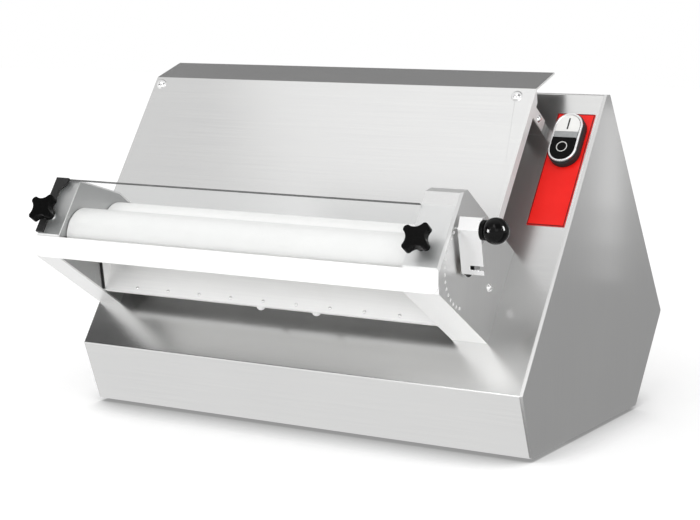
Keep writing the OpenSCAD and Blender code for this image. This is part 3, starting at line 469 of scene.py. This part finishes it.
# The paper's colour falls with ambient occlusion: a painted contact shadow.
drive(shader, "Base Color", tint(paper_and_painted_shadow, grey(0.12), grey(0.89)))
far = place.node("ShaderNodeVectorMath", {"operation": "LENGTH"}, {0: place}, "Value")
glow = tint(far * GLOW_RISE - GLOW_START, grey(0.24), grey(0.38))
drive(shader, "Emission Color", glow.node("ShaderNodeMix", {"data_type": "RGBA"}, {
    "Factor": seen_as_white(place), "A": (0, 0, 0, 1), "B": glow}, "Result"))
plane("floor", (0, 0, 0), (0, 0, 1), FLOOR_SIZE, FLOOR_SIZE, material)


# Studio screens: grey cards that only polished metal sees, so that the folded panels show
# their form. The three narrow ones make one streak that fades down the right side panel.
def screen(name, centre, normal, width, height, level):
    material = bpy.data.materials.new(name)
    material.use_nodes = True
    shader = material.node_tree.nodes["Principled BSDF"]
    shader.inputs["Base Color"].default_value = (0, 0, 0, 1)
    shader.inputs["Specular IOR Level"].default_value = 0.0
    shader.inputs["Emission Color"].default_value = (*grey(level), 1)
    shader.inputs["Emission Strength"].default_value = 1.0
    made = plane(name, centre, normal, width, height, material)
    made.visible_camera = False
    made.visible_diffuse = False
    made.visible_transmission = False
    made.visible_shadow = False


UP, DOWN, TO_FRONT = (0, 0, 1), (0, 0, -1), (0, -1, 0)
TO_SIDE_PANEL = (-0.381, -0.918, 0)
over_plate = on_sheet(BUTTON_X, 0.2125, 0.0013).translation
screen("screen_back", (0.2, 1.6, 2.0), TO_FRONT, 5.0, 2.2, 0.26)
screen("screen_right", (0.962, 0.54, 0.001), UP, 1.4, 1.4, 0.38)
screen("screen_right_far", (1.15, 1.84, 0.001), UP, 1.8, 1.2, 0.46)
screen("screen_right_end", (1.4, 2.5, 0.45), (-0.5, -0.86, 0), 2.6, 0.9, 0.44)
screen("screen_right_strip", (0.317, 0.191, 0.265), TO_SIDE_PANEL, 0.02, 0.11, 1.20)
screen("screen_right_strip_low", (0.317, 0.191, 0.190), TO_SIDE_PANEL, 0.02, 0.04, 0.93)
screen("screen_right_strip_end", (0.317, 0.191, 0.150), TO_SIDE_PANEL, 0.02, 0.04, 0.68)
screen("screen_right_high", (0.82, -0.63, 1.04), (-0.50, 0.44, -0.74), 0.9, 0.9, 0.38)
screen("screen_left_high", (-1.41, -0.45, 1.43), DOWN, 0.96, 1.1, 0.75)
screen("screen_lip", (-0.62, -0.53, 0.47), DOWN, 0.96, 0.44, 0.04)
screen("screen_plate", over_plate, SHEET_OUT, 0.039, 0.064, 0.25)
screen("screen_cheek", (-0.02, -0.46, 0.60), DOWN, 0.46, 0.38, 0.70)
screen("screen_front", (-0.094, -0.22, 0.001), UP, 0.712, 0.4, 0.97)

# Studio light: a white surround, two soft boxes and two strip lamps. Two window lamps light
# the ball knob alone and stand in its polish as two small bright marks.
AIM = Vector((0, 0, 0.18))
SURROUND = 0.75
world = bpy.data.worlds.new("surround")
bpy.context.scene.world = world
world.use_nodes = True
backdrop = world.node_tree.nodes["Background"]
backdrop.inputs["Color"].default_value = (1, 1, 1, 1)
seen = seen_as_white(Value(world.node_tree, None))
drive(backdrop, "Strength", SURROUND + seen * (1 - SURROUND))


def soft_box(name, at, width, height, watts, only=None):
    """An area lamp that is aimed at the machine and may light one of its solids alone."""
    lamp = bpy.data.lights.new(name, "AREA")
    lamp.shape = "RECTANGLE"
    lamp.size = width
    lamp.size_y = height
    lamp.energy = watts
    box = bpy.data.objects.new(name, lamp)
    box.location = at
    box.rotation_euler = (AIM - Vector(at)).to_track_quat("-Z", "Y").to_euler()
    bpy.context.scene.collection.objects.link(box)
    if only:
        lit = bpy.data.collections.new(name)
        lit.objects.link(only)
        box.light_linking.receiver_collection = lit


soft_box("key_box", (0.2, -1.9, 2.3), 1.6, 1.2, 19)
soft_box("fill_box", (1.5, -2.2, 1.0), 1.2, 1.2, 6)
soft_box("strip_left", (-0.56, -1.96, 0.76), 0.10, 0.40, 2.0)
soft_box("strip_right", (2.14, -0.54, 0.80), 0.10, 0.40, 1.2)
soft_box("window_right", (2.08, 0.23, 0.94), 0.5, 1.1, 144, nodes["ball_knob"])
soft_box("window_left", (-1.09, -1.65, 0.315), 0.7, 0.7, 128, nodes["ball_knob"])
